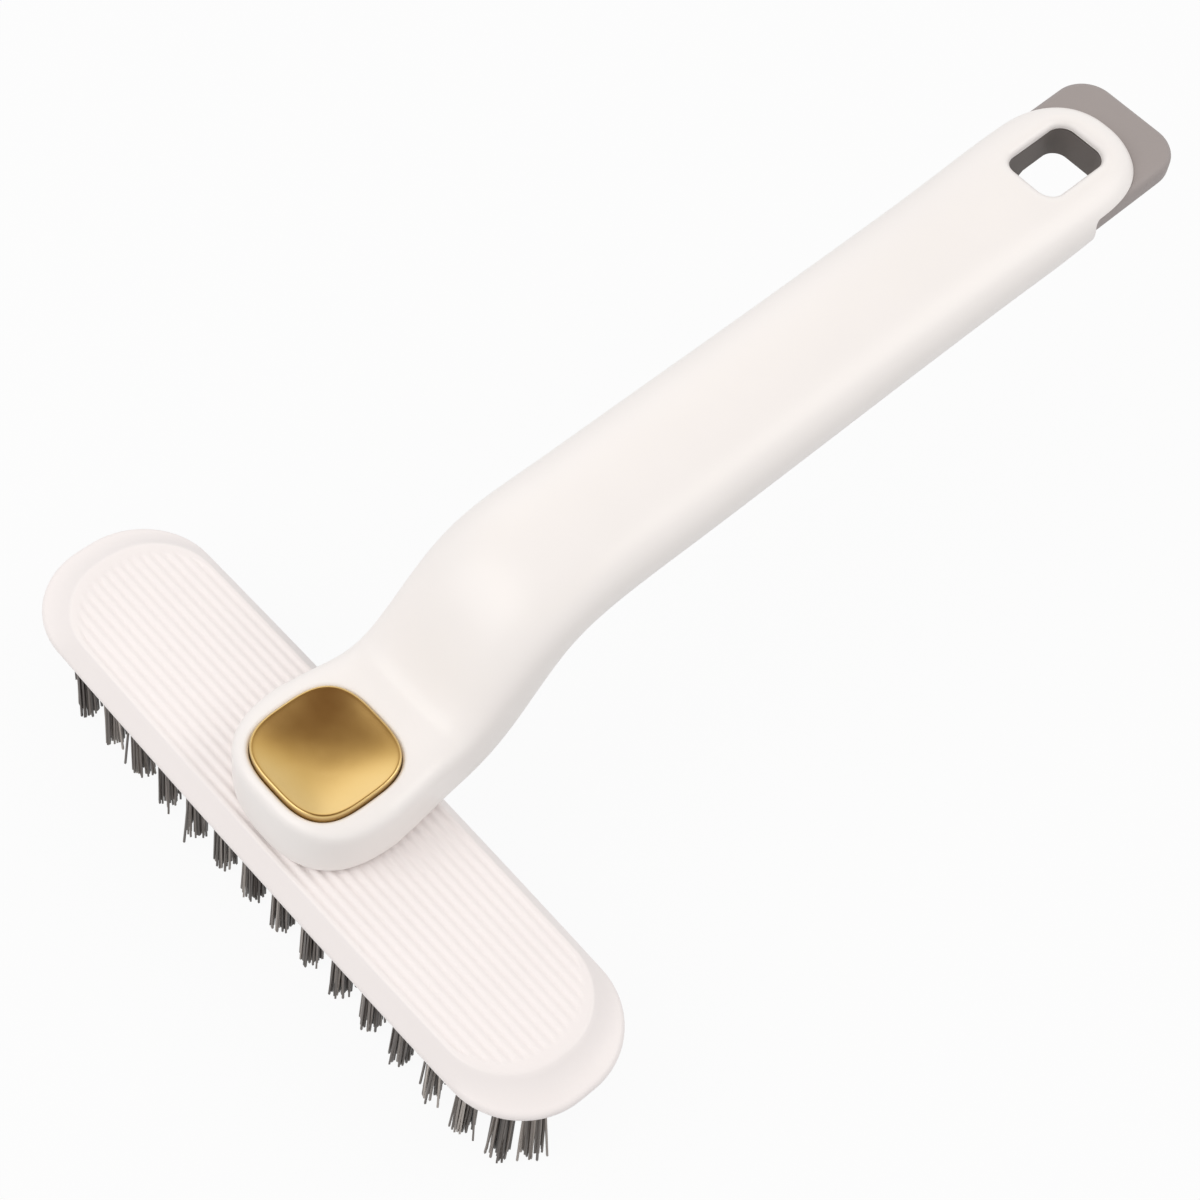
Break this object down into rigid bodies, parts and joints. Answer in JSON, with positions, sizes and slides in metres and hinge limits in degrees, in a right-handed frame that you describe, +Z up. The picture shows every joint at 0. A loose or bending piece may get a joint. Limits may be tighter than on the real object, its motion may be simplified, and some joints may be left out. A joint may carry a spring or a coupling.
{
  "type": "bathroom cleaning brush",
  "caption": "Long oval tufted brush head that swivels under a bent hollow handle, with a plated release button and a slotted hanging tab.",
  "frame": {"origin": "Centre of the bounding box at its lowest level, under the trimmed bristle tips.", "axes": "+X along the oval head, +Y from the head towards the handle's hanging tab, +Z up, out of the ribbed top of the head."},
  "size_m": [0.155, 0.2426, 0.0845],
  "materials": {
    "white_plastic": "warm white, satin to gloss",
    "grey_plastic": "warm grey, fine matt grain",
    "plate_plastic": "white, matt",
    "gold_plating": "plated, polished gold colour",
    "core_plastic": "natural acetal, matt",
    "gear_plastic": "natural acetal, slightly waxy",
    "nylon_bristle": "dark grey-brown nylon filament",
    "spring_steel": "drawn wire",
    "screw_steel": "zinc plated"
  },
  "bodies": {
    "handle": {"handle_shell": "white_plastic", "lower_cover": "grey_plastic", "pivot_core": "core_plastic", "core_screw_1": "screw_steel", "core_screw_2": "screw_steel", "cover_screw_1": "screw_steel", "cover_screw_2": "screw_steel", "pivot_screw": "screw_steel", "pivot_washer": "screw_steel"},
    "head": {"head_cover": "white_plastic", "tuft_plate": "plate_plastic", "bristles_front_row": "nylon_bristle", "bristles_rear_row": "nylon_bristle", "bristles_inner_front_row": "nylon_bristle", "bristles_inner_rear_row": "nylon_bristle", "bristles_left_end": "nylon_bristle", "bristles_right_end": "nylon_bristle", "plate_screw_1": "screw_steel", "plate_screw_2": "screw_steel", "plate_screw_3": "screw_steel", "plate_screw_4": "screw_steel", "lock_spring": "spring_steel"},
    "button": {"button_cap": "gold_plating", "button_plunger": "core_plastic"},
    "lock": {"lock_gear": "gear_plastic"}
  },
  "joints": [
    {"name": "head_swivel", "type": "hinge", "parent": "handle", "child": "head", "pos_m": [0, -0.1021, 0.0335], "axis": [0, 0, 1], "range_deg": [-60, 60]},
    {"name": "button_press", "type": "slide", "parent": "handle", "child": "button", "axis": [0, 0, -1], "range_m": [0, 0.0022], "stiffness_N_per_m": 1200, "springref_m": -0.0012},
    {"name": "lock_slide", "type": "slide", "parent": "head", "child": "lock", "axis": [0, 0, -1], "range_m": [0, 0.0022], "deforming": ["lock_spring"]}
  ],
  "couplings": [
    {"joint": "lock_slide", "follows": "button_press", "ratio": 1}
  ]
}
